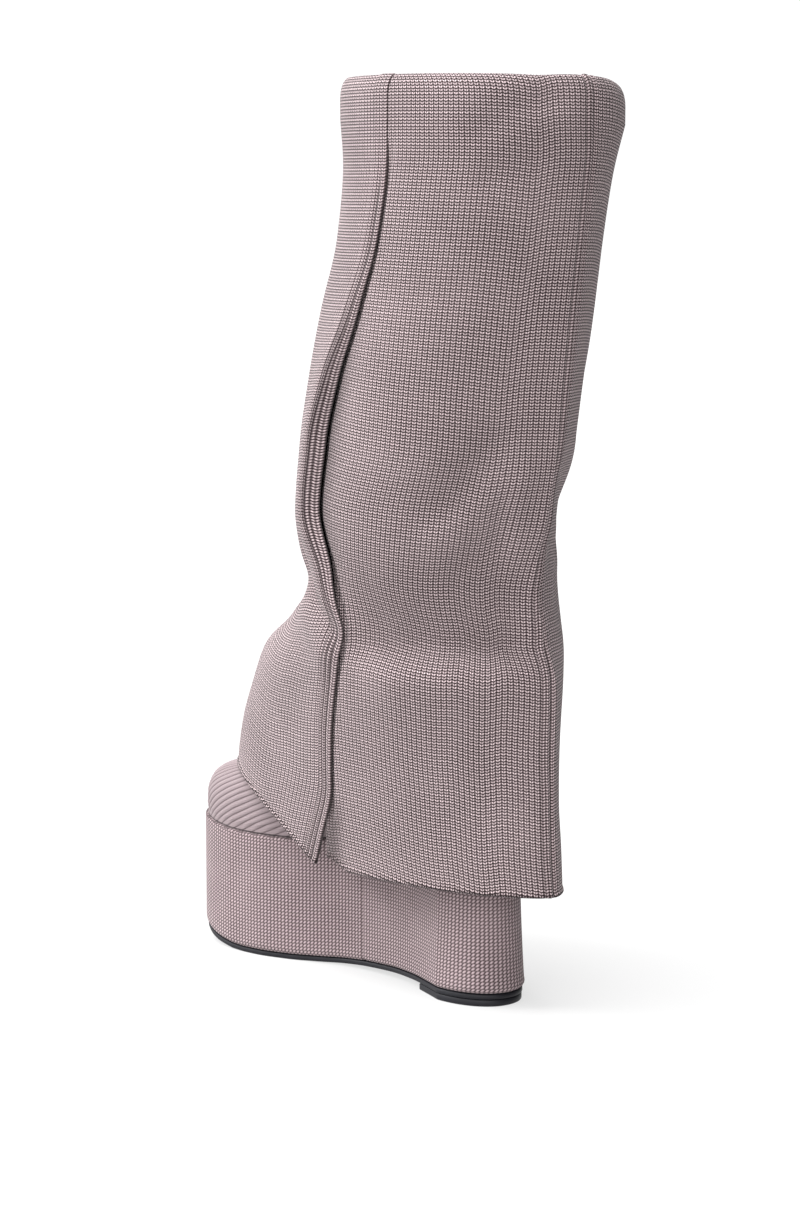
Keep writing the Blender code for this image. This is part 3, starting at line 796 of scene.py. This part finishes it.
# Fold-over cuff: a back piece of two quarters and a front piece
cuff = {
    "names": (
        "backY", "backZ", "seamZ", "frontY", "frontZ", "medial", "lateral",
        "corner", "frontPower", "seamTurn",
    ),
    "rings": (
        (0.0985, 0.5330, 0.533, -0.0975, 0.533, 0.0700, 0.0700, 0.00, 1.00, 92),
        (0.0910, 0.5030, 0.503, -0.0945, 0.503, 0.0690, 0.0690, 0.20, 1.00, 92),
        (0.0850, 0.4620, 0.462, -0.0995, 0.461, 0.0700, 0.0700, 0.45, 1.00, 93),
        (0.0800, 0.4200, 0.420, -0.1140, 0.418, 0.0725, 0.0725, 0.65, 1.00, 96),
        (0.0750, 0.3800, 0.380, -0.1255, 0.376, 0.0740, 0.0740, 0.80, 1.00, 103),
        (0.0690, 0.3400, 0.340, -0.1345, 0.334, 0.0745, 0.0745, 0.90, 1.00, 107),
        (0.0545, 0.3000, 0.300, -0.1380, 0.292, 0.0740, 0.0740, 0.95, 1.00, 106),
        (0.0512, 0.2620, 0.262, -0.1235, 0.254, 0.0715, 0.0715, 0.95, 1.00, 103),
        (0.0640, 0.2280, 0.226, -0.1460, 0.228, 0.0690, 0.0690, 0.95, 0.95, 93),
        (0.0680, 0.1940, 0.190, -0.1755, 0.206, 0.0660, 0.0660, 0.90, 0.85, 91),
        (0.0670, 0.1600, 0.155, -0.1905, 0.180, 0.0605, 0.0615, 0.80, 0.75, 92),
        (0.0665, 0.1290, 0.119, -0.2010, 0.156, 0.0555, 0.0575, 0.65, 0.65, 92),
        (0.0680, 0.1010, 0.096, -0.2055, 0.138, 0.0522, 0.0552, 0.52, 0.58, 92),
        (0.0690, 0.0735, 0.073, -0.2075, 0.124, 0.0495, 0.0535, 0.42, 0.52, 92),
    ),
    "cornerPower": 2.5,
    "wall": 0.0030,
    "slitTop": 10.75,  # the side slits open below this ring
    "slitForward": 0.0225,
    "slitShade": 0.60,  # darker colour that stands for shade behind the slit
    "cornerWide": 0.024,
    "cornerRise": 0.0065,  # the back piece's lower corners lift beside the slits
    "slitSoft": 0.14,  # the slit opens slowly from its top over this share of it
    "halfWales": 39,  # wales on each half of a piece
    "evenColumns": 72,  # columns on each half between the close ones
    "edgeSpots": (  # close columns beside a side edge
        0.0, 0.0003, 0.0008, 0.0015, 0.0024, 0.0034, 0.0040, 0.0045, 0.0051, 0.0062, 0.0072, 0.0078, 0.0083,
        0.0089, 0.0100, 0.0109, 0.0115, 0.0120, 0.0126, 0.0137,
    ),
    "seamSpots": (0.0, 0.0005, 0.0011, 0.0018, 0.0026, 0.0034, 0.0041, 0.0049, 0.0057, 0.0065, 0.0075),
    "edgeFurrows": (  # place from the edge, and the rings where each starts and is full
        (0.0045, 0.3, 1.5), (0.0083, 1.5, 3.5), (0.0120, 6.5, 8.5),
    ),
    "edgeWide": 0.0011,  # width and depth of those furrows
    "edgeDeep": 0.0009,
    "seamWide": (0.0012, 0.0011),  # and of the two at the centre back
    "seamDeep": 0.0015,
    "beadRise": 0.006,  # the bead's crest lies this far from the edge
    "beadFade": 0.044,
    "edgeGap": 0.0034,  # room left between the front piece's edge and the back piece
    "course": 0.0018,
    "wale": 0.00326,
    "backSeam": (  # arc from the ring's back point to the centre-back seam
        0.0025, -0.0036, -0.0044, -0.0038, -0.0040, -0.0056, -0.0080, -0.0056, 0.0002, 0.0030, 0.0028,
        0.0018, 0.0022, 0.0010,
    ),
    "bead": (  # how far the front piece's edge stands proud, for each ring
        0.0, 0.0006, 0.0012, 0.0030, 0.0052, 0.0062, 0.0060, 0.0046, 0.0028, 0.0018, 0.0014,
        0.0010, 0.0008, 0.0006,
    ),
    "underlap": 0.0026,  # the tucked edge lies this far below the front piece's face
    "foldShade": 155.0,  # painted shade in the pleat's fold, for each metre of its depth
    "foldFade": 1.9,  # power by which that fades away from the fold
    "creaseShade": 14.0,  # painted shade in the creases' troughs, for each metre of their depth
    "tuck": 0.007,  # the back piece runs on under the front one
    "hollow": (  # width and depth of the pleat's hollow beside the seam, for each ring
        (0.0, 0.0), (0.0, 0.0), (0.002, 0.0), (0.013, 0.0016), (0.027, 0.0038), (0.034, 0.0048),
        (0.031, 0.0044), (0.017, 0.0022), (0.003, 0.0), (0.0, 0.0), (0.0, 0.0), (0.0, 0.0),
        (0.0, 0.0), (0.0, 0.0),
    ),
    "backCreases": (  # arc from the centre back and height of both ends, width above, width below, lift
        (0.130, 0.222, 0.000, 0.226, 0.042, 0.012, -0.0110),
        (0.115, 0.203, 0.020, 0.203, 0.010, 0.022, 0.0018),
        (0.012, 0.330, 0.064, 0.282, 0.012, 0.014, 0.0034),
        (0.036, 0.352, 0.060, 0.302, 0.014, 0.010, -0.0030),
        (0.005, 0.300, 0.055, 0.262, 0.012, 0.016, -0.0026),
        (0.020, 0.549, 0.074, 0.524, 0.012, 0.010, -0.0022),
        (0.030, 0.505, 0.065, 0.497, 0.010, 0.010, -0.0016),
        (0.120, 0.428, 0.060, 0.432, 0.010, 0.010, -0.0006),
        (0.000, 0.266, -0.030, 0.258, 0.011, 0.013, 0.0022),
        (-0.015, 0.238, -0.128, 0.226, 0.024, 0.012, -0.0018),
        (-0.020, 0.322, -0.080, 0.276, 0.014, 0.012, -0.0016),
        (-0.010, 0.300, 0.020, 0.296, 0.022, 0.022, 0.0060),
        (-0.045, 0.290, -0.070, 0.282, 0.020, 0.018, -0.0040),
        (-0.040, 0.365, -0.070, 0.365, 0.030, 0.030, -0.0020),
    ),
    "frontCreases": (  # arc from the nearer side edge and height of both ends, widths, lift
        (0.070, 0.268, 0.050, 0.266, 0.016, 0.014, 0.0030),
        (0.042, 0.256, 0.002, 0.222, 0.009, 0.005, -0.0036),
        (0.052, 0.240, 0.006, 0.207, 0.008, 0.011, 0.0022),
    ),
    "hemBand": 0.0032,
    "hemRound": (0.0016, 0.0012, 0.0007),  # place above the hem, width and height of its rounded edge
    "hemFurrow": (0.0040, 0.0008, 0.0006),  # and of the furrow over it
    "lastStep": 0.028,  # height between the last two rings
}


def cuffCurves(where, edge, front, side, samples=541):
    # fine curves of ring rows on one side, from the piece's start angle to its end angle
    ring = tableAt(cuff["rings"], cuff["names"], where)
    r = {name: values[:, None] for name, values in ring.items()}
    share = np.linspace(0, 1, samples)[None, :]
    edge = edge[:, None]
    turn = edge + share * (math.pi - edge) if front else share * edge
    middle, reach = 0.5 * (r["backY"] + r["frontY"]), 0.5 * (r["backY"] - r["frontY"])
    cosine, sine = np.cos(turn), np.clip(np.sin(turn), 0, None)
    gore = r["corner"] * (1 - np.abs(cosine) ** cuff["cornerPower"]) + (1 - r["corner"]) * sine
    wide = np.where(cosine > 0, gore, sine ** r["frontPower"])
    x = (r["medial"] if side > 0 else r["lateral"]) * wide
    y = middle + reach * cosine
    if front:
        z = r["seamZ"] + (r["frontZ"] - r["seamZ"]) * share * (2 - share)
    else:
        z = r["backZ"] + (r["seamZ"] - r["backZ"]) * share**2
    fade = np.clip((r["backZ"] - rim["fadeFrom"]) / (upper["collarTop"] - rim["fadeFrom"]), 0, 1)
    return np.stack([side * x, y, z - rimDrop(turn, side) * fade], -1)


def rollCurves(edge, front, side, samples=541):
    # rows of the facing inside the collar, then of the half-round roll over its edge
    share = np.linspace(0, 1, samples)
    turn = edge + share * (math.pi - edge) if front else share * edge
    centre = upper["collarTop"] - rim["foldDrop"]
    rolls = []
    for share in np.linspace(0, 1, 7)[:-1]:
        proud = 0.0016 + (rim["foldRadius"] - 0.0016) * share**0.8
        rolls.append((-proud, centre - rim["facing"] * (1 - share)))
    for a in np.linspace(math.pi, 0, 19):
        tall = rim["foldRadius"] if a > 0.5 * math.pi else rim["shoulder"]
        rolls.append((rim["foldRadius"] * math.cos(a), centre + rim["foldRadius"] - tall * (1 - math.sin(a))))
    rows = []
    for out, z in rolls:
        shift = out - 0.5 * upper["wall"]
        x = side * (upper["collarHalf"] + shift) * np.sin(turn)
        y = upper["collarMiddle"] + (upper["collarReach"] + shift) * np.cos(turn)
        rows.append(np.stack([x, y, z - rimDrop(turn, side)], -1))
    return np.array(rows)


def cuffRows():
    # ring numbers of the rows below the roll, close together at the hem
    last = len(cuff["rings"]) - 1
    hem = [last - e / cuff["lastStep"] for e in (0.0030, 0.0022, 0.0014, 0.0008, 0.0003, 0.0)]
    return np.concatenate([np.linspace(0, hem[0], 150, endpoint=False), hem])


def tucked(ring):
    # share of the tuck on a row: none on the roll, and half as much again at the hem
    return ease(ring, 0.0, 1.6) * (1 + 0.5 * ease(ring, cuff["slitTop"], len(cuff["rings"]) - 1))


def cuffEdges(where, front):
    # angle of the piece's side edge on each row: the slit swings the pieces apart below its top
    ring = tableAt(cuff["rings"], cuff["names"], where)
    reach = 0.5 * (ring["backY"] - ring["frontY"])
    below = np.clip((where - cuff["slitTop"]) / (len(cuff["rings"]) - 1 - cuff["slitTop"]), 0, 1)
    opened = (1 + cuff["slitSoft"]) * below**2 / (below + cuff["slitSoft"])
    slide = cuff["slitForward"] * opened if front else cuff["tuck"] * tucked(where)
    return np.radians(ring["seamTurn"]) + slide / reach


def halfPlaces(length, near, far):
    # column places over one half of each row: close ones at both ends and even ones between
    length = length[:, None]
    near, far = np.array(near)[None, :], np.array(far)[None, ::-1]
    share = np.linspace(0, 1, cuff["evenColumns"] + 2)[None, 1:-1]
    even = near[:, -1:] + share * (length - near[:, -1:] - far[:, :1])
    return np.concatenate([near + 0 * length, even, length - far], 1)


def cuffSkin(front):
    # outer face of a piece before its relief, each point's arc from the piece's middle line,
    # and the rows' ring numbers
    where = cuffRows()
    edges = cuffEdges(where, front)
    halves = []
    for side in (1, -1):
        roll = rollCurves(float(edges[0]), front, side)
        body = cuffCurves(where, edges, front, side)
        halves.append(np.concatenate([roll, fillGap(roll[-1], body[0], 4), body], 0))
    if front:  # medial edge, centre front, lateral edge
        fine = np.concatenate([halves[0], halves[1][:, -2::-1]], 1)
    else:  # lateral edge, centre back, medial edge
        fine = np.concatenate([halves[1][:, :0:-1], halves[0]], 1)
    ring = np.concatenate([np.full(len(fine) - len(where), -0.5), where])
    arcs = rowArcs(fine)
    middle = arcs[:, halves[0].shape[1] - 1]
    spots = (0.0,)
    if not front:
        middle = middle + seamArc(ring)
        spots = cuff["seamSpots"]
    first = halfPlaces(middle, cuff["edgeSpots"], spots)
    second = halfPlaces(arcs[:, -1] - middle, spots, cuff["edgeSpots"])
    places = np.concatenate([first, middle[:, None] + second[:, 1:]], 1)
    return atArcs(fine, arcs, places), places - middle[:, None], ring


def seamArc(ring):
    # arc from the ring's back point to the centre-back seam
    return through(ring, np.arange(len(cuff["backSeam"])), cuff["backSeam"])


def creaseLift(rows, along, height):
    # soft troughs and ridges: a bell across each line, wider above or below it, that fades
    # past the line's ends
    total = np.zeros_like(along)
    for s0, z0, s1, z1, above, below, lift in rows:
        length = math.hypot(s1 - s0, z1 - z0)
        ts, tz = (s1 - s0) / length, (z1 - z0) / length
        t = ((along - s0) * ts + (height - z0) * tz) / length
        off = (height - z0) * abs(ts) - (along - s0) * tz * np.sign(ts)
        across = bell(off, np.where(off > 0, above, below))
        total = total + lift * across * ease(t, -0.2, 0.2) * (1 - ease(t, 0.8, 1.2))
    return total


def steady(skin, normal, fromSeam):
    # directions for deep creases: the normal, and near the sharp ridge behind the line from
    # the boot's upright axis
    axis = skin * (1.0, 1.0, 0.0) + (0.0, 0.03, 0.0)
    axis = axis / np.linalg.norm(axis, axis=-1, keepdims=True)
    share = (1 - ease(np.abs(fromSeam), 0.010, 0.045))[..., None]
    mixed = normal * (1 - share) + axis * share
    return mixed / np.linalg.norm(mixed, axis=-1, keepdims=True)


def edgeLength(skin):
    # length along each row from the piece's two side edges, and length up each column from the hem
    run = rowArcs(skin)
    down = runDown(skin)
    return np.minimum(run, run[:, -1:] - run), down[-1:] - down


def rounded(length, radius):
    # quarter circle: 0 at the edge, 1 from the radius on
    return np.sqrt(1 - (1 - np.clip(length / radius, 0, 1)) ** 2)


def sheetShell(name, skin, wale, lift, groove, shade, dash):
    # closed sheet: outer face, rounded side edges, inner face, thin rounded hem
    normal = gridNormals(skin)
    side, hem = edgeLength(skin)
    rows, cols = skin.shape[:2]
    radius = 0.5 * cuff["wall"]
    thick = np.full((rows, 1), cuff["wall"])
    thick[:8, 0] = np.linspace(0.0006, cuff["wall"], 8)
    k = np.clip(rounded(side, radius) * rounded(hem, radius), 0.12, 1)
    middle = skin - normal * (0.5 * thick)[..., None]
    outer = middle + normal * (0.5 * thick * k + lift)[..., None]
    inner = middle - normal * (0.5 * thick * k)[..., None]
    points = np.concatenate([outer, inner[:, ::-1]], 1)
    down = runDown(skin) / cuff["course"]
    u = np.concatenate([wale, wale[:, ::-1], wale[:, :1]], 1)
    v = np.concatenate([down, down[:, ::-1], down[:, :1]], 1)
    c = np.arange(cols - 1)
    total = 2 * cols
    first = np.stack([c, total - 1 - c, total - 2 - c, c + 1], 1)
    last = np.stack([c, c + 1, total - 2 - c, total - 1 - c], 1) + (rows - 1) * total
    hemShare = np.clip(1 - hem / cuff["hemBand"], 0, 1)
    # the shade mark carries painted shade, on the outer face only
    marks = {
        "groove": np.concatenate([groove, np.zeros_like(groove)], 1),
        "shade": np.concatenate([shade, np.zeros_like(shade)], 1),
        "hem": np.concatenate([hemShare, hemShare[:, ::-1]], 1),
        "dash": dash * (np.concatenate([hem, hem[:, ::-1]], 1) < cuff["hemBand"]),
    }
    print(name, "widest row", rowArcs(skin)[:, -1].max(), "longest column", runDown(skin)[-1].max())
    ends = np.concatenate([first, last]).tolist()
    return addPiece(name, points, u, v, ["cuff"], cuffCloth, True, extra=ends, marks=marks)


def hemBead(hem):
    # rounded edge below a narrow furrow: one bell less another
    (edge, edgeWide, high), (furrow, furrowWide, deep) = cuff["hemRound"], cuff["hemFurrow"]
    return high * bell(hem - edge, edgeWide) - deep * bell(hem - furrow, furrowWide)


def addCuffBack():
    # two quarters joined at the centre back by a pair of furrows, tucked under the front piece's edges
    skin, fromSeam, ring = cuffSkin(False)
    normal = gridNormals(skin)
    side, hem = edgeLength(skin)
    along = fromSeam + seamArc(ring)[:, None]  # arc from the centre back, above zero on the medial quarter
    fold = tableAt(cuff["hollow"], ("wide", "deep"), ring)
    inward = np.clip((side - cuff["tuck"]) / np.maximum(fold["wide"][:, None], 0.001), 0, 1)
    under = (tucked(ring) * (1 - ease(ring, cuff["slitTop"] + 0.3, cuff["slitTop"] + 1.2)))[:, None]
    recess = fold["deep"][:, None] * (1 - inward) ** 1.5
    recess = recess + cuff["underlap"] * under * (1 - ease(side, 0.0065, 0.0105))
    creases = creaseLift(cuff["backCreases"], along, skin[..., 2]) * ease(side, 0.0, 0.012)
    slit = ease(ring, cuff["slitTop"] - 0.2, cuff["slitTop"] + 1.0)[:, None] * (1 - ease(side, 0.006, 0.022))
    skin = skin - normal * recess[..., None] + steady(skin, normal, fromSeam) * creases[..., None]
    corner = (1 - ease(side, 0.0, cuff["cornerWide"])) * (1 - ease(hem, 0.0, 0.045))
    skin[..., 2] += cuff["cornerRise"] * corner
    second = fromSeam - 1.5 * cuff["wale"]
    furrow = bell(fromSeam, cuff["seamWide"][0]) + 0.9 * bell(second, cuff["seamWide"][1])
    band = 0.0006 * np.exp(-(((fromSeam - 0.75 * cuff["wale"]) / 0.0026) ** 4))  # raised between the two
    relief = band - cuff["seamDeep"] * furrow + hemBead(hem)
    wale = cuff["halfWales"] + fromSeam / cuff["wale"]
    # painted shade: darker colour in the pleat's fold beside the seam, behind the slit and in the creases'
    # troughs
    shade = cuff["foldShade"] * fold["deep"][:, None] * (1 - inward) ** cuff["foldFade"]
    shade = shade + cuff["slitShade"] * slit
    shade = shade + cuff["creaseShade"] * np.clip(-creases, 0, None)
    return sheetShell("cuffBack", skin, wale, relief, 0.95 * furrow, shade, 0.75)


def addCuffFront():
    # front piece: its side edges turn down to the back piece and stand proud as a rounded bead
    # with three furrows
    skin, fromMiddle, ring = cuffSkin(True)
    normal = gridNormals(skin)
    side, hem = edgeLength(skin)
    proud = through(ring, np.arange(len(cuff["bead"])), cuff["bead"])[:, None]
    rise = np.sin(0.5 * math.pi * np.clip(side / cuff["beadRise"], 0, 1)) ** 0.8
    lift = proud * rise * (1 - ease(side, cuff["beadRise"], cuff["beadFade"]))
    lift = lift + creaseLift(cuff["frontCreases"], side, skin[..., 2])
    deep = tableAt(cuff["hollow"], ("wide", "deep"), ring)["deep"]
    # the edge comes down to the back piece
    sink = np.clip(deep + cuff["underlap"] * tucked(ring) - cuff["edgeGap"], 0, None)[:, None]
    skin = skin + normal * (lift - sink * (1 - ease(side, 0.0, cuff["beadRise"])))[..., None]
    furrow = np.zeros_like(side)
    for place, start, full in cuff["edgeFurrows"]:
        furrow = furrow + bell(side - place, cuff["edgeWide"]) * ease(ring, start, full)[:, None]
    band = 0.0005 * (1 - ease(side, 0.0118, 0.0128))  # raised along the edge
    relief = band - cuff["edgeDeep"] * furrow + hemBead(hem)
    half = np.where(fromMiddle < 0, -fromMiddle[:, :1], fromMiddle[:, -1:])
    wale = cuff["halfWales"] * (1 + fromMiddle / half)
    return sheetShell("cuffFront", skin, wale, relief, furrow, np.zeros_like(side), 0.3)


cuffBack = addCuffBack()
cuffFront = addCuffFront()

# Rubber bottom: a thin outsole along the wrap's edge, and the lift under the heel
tread = {
    "inset": 0.0012,
    "bevel": 0.0008,
    "thick": 0.0034,
    "seat": 0.0003,
    "rim": 0.0042,  # flat rim round the underside
    "channel": 0.0006,  # depth of the underside inside the rim
    "rimSlope": 0.0008,
    "inner": 0.0090,
    "softEdge": 0.0004,  # small bevel at the top
    "liftFront": -0.034,
    "liftInset": 0.0016,
    "liftInner": 0.004,
    "liftSoft": 0.0003,
}


def outsoleRows():
    # outline loops at an inset, each at its height over the wedge's underside
    turns, sides = evenTurns(420)
    edge, low, top = tread["inset"], -tread["thick"], -tread["seat"]
    bevel, channel, rimEdge = tread["bevel"], low + tread["channel"], edge + tread["rim"]
    levels = (
        (tread["inner"], channel),
        (rimEdge + tread["rimSlope"], channel),
        (rimEdge, low),
        (edge + bevel, low),
        (edge + 0.3 * bevel, low + 0.3 * bevel),
        (edge, low + bevel),
        (edge, top - tread["softEdge"]),
        (edge + tread["softEdge"], top),
        (tread["inner"], top),
    )
    rows = []
    for inset, lift in levels:
        x, y = soleRing(turns, sides, inset)
        z = soleUnder(y) + lift
        rows.append(np.stack([*flaredOut(x, y, 1.0), z], -1))
    return rows


def liftRows():
    # loops from the heel's back along the medial side to the square front and back along the lateral side
    top = float(soleUnder(0.0)) - tread["thick"] - tread["seat"]
    edge, bevel, soft = tread["liftInset"], tread["bevel"], tread["liftSoft"]
    levels = (
        (edge + tread["liftInner"], 0.0),
        (edge + bevel, 0.0),
        (edge + 0.3 * bevel, 0.3 * bevel),
        (edge, bevel),
        (edge, top - soft),
        (edge + soft, top),
        (edge + tread["liftInner"], top),
    )
    rows = []
    for inset, z in levels:
        back, front = sole["heelBack"] - inset, tread["liftFront"] + inset
        y = back - (back - front) * (1 - np.cos(0.5 * math.pi * np.linspace(0, 1, 80)))
        x = np.concatenate([soleSide(y, 1, inset), -soleSide(y, -1, inset)[:0:-1]])
        y = np.concatenate([y, y[:0:-1]])
        rows.append(np.stack([*flaredOut(x, y, 1.0), np.full_like(x, z)], -1))
    return rows


addBlock("soleRubber", outsoleRows(), "outsole", rubber)
addBlock("liftRubber", liftRows(), "heel_lift", rubber)

# Floor and light
floor = {"base": 0.19, "glow": 0.68, "half": 9}
light = {
    "bright": 2.02,  # sky on the lit side
    "shaded": 0.01,  # and on the far side
    "litSide": (0.75, -0.66, 0.0),
    "litFrom": (-0.35, 0.75),  # cosines between which the sky goes from shaded to bright
    "backdrop": 1.08,
    "behind": (-0.66, -0.75, 0.0),  # fixed direction of the white backdrop
    "behindFrom": (0.70, 0.92),
    "key": ((0.55, -0.62, 0.56), 18.0, 1.82),  # direction to the lamp, its softness in degrees, its strength
    "top": ((0.15, -0.10, 1.0), 45.0, 4.06),
    "fill": ((0.60, 0.68, 0.42), 60.0, 1.65),
}


def addFloor():
    material, tree, shader = nodeTree("floorWhite")
    shader.inputs["Base Color"].default_value = (*[floor["base"]] * 3, 1)
    shader.inputs["Emission Color"].default_value = (1, 1, 1, 1)
    shader.inputs["Emission Strength"].default_value = floor["glow"]
    shader.inputs["Roughness"].default_value = 0.8
    shader.inputs["Specular IOR Level"].default_value = 0.1
    mesh = bpy.data.meshes.new("floor")
    half = floor["half"]
    corners = [(-half, -half, 0), (half, -half, 0), (half, half, 0), (-half, half, 0)]
    mesh.from_pydata(corners, [], [(0, 1, 2, 3)])
    mesh.materials.append(material)
    made = bpy.data.objects.new("floor", mesh)
    scene.collection.objects.link(made)


def addLamp(name, toward, softness, strength):
    # a far lamp: its own z axis points back at the light's direction
    data = bpy.data.lights.new(name, "SUN")
    data.angle = math.radians(softness)
    data.energy = strength
    made = bpy.data.objects.new(name, data)
    scene.collection.objects.link(made)
    back = np.array(toward) / np.linalg.norm(toward)
    across = np.cross((0, 1, 0), back)
    across /= np.linalg.norm(across)
    made.matrix_world = axesAt(across, np.cross(back, across), back, 3 * back)


def facing(tree, direction, low, high, atLow, atHigh):
    # smooth step of the cosine between the light's direction and a fixed one
    place = tree.nodes.new("ShaderNodeTexCoord")
    dot = tree.nodes.new("ShaderNodeVectorMath")
    dot.operation = "DOT_PRODUCT"
    dot.inputs[1].default_value = direction
    tree.links.new(place.outputs["Generated"], dot.inputs[0])
    ramp = tree.nodes.new("ShaderNodeMapRange")
    ramp.interpolation_type = "SMOOTHSTEP"
    for socket, value in (("From Min", low), ("From Max", high), ("To Min", atLow), ("To Max", atHigh)):
        ramp.inputs[socket].default_value = value
    tree.links.new(dot.outputs["Value"], ramp.inputs["Value"])
    return ramp.outputs["Result"]


def addWorld():
    # pale sky, strong on the lit side and weak on the other, white towards the backdrop
    world = bpy.data.worlds.new("studio")
    world.use_nodes = True
    tree = world.node_tree
    soft = facing(tree, light["litSide"], *light["litFrom"], light["shaded"], light["bright"])
    white = facing(tree, light["behind"], *light["behindFrom"], 0.0, 1.0)
    strength = calc(tree, "MULTIPLY_ADD", white, calc(tree, "SUBTRACT", light["backdrop"], soft), soft)
    tree.links.new(strength, tree.nodes["Background"].inputs["Strength"])
    tree.nodes["Background"].inputs["Color"].default_value = (1, 1, 1, 1)
    scene.world = world


addFloor()
for name in ("key", "top", "fill"):
    addLamp(name, *light[name])
addWorld()
scene.view_settings.view_transform = "Standard"
print("stage lit")
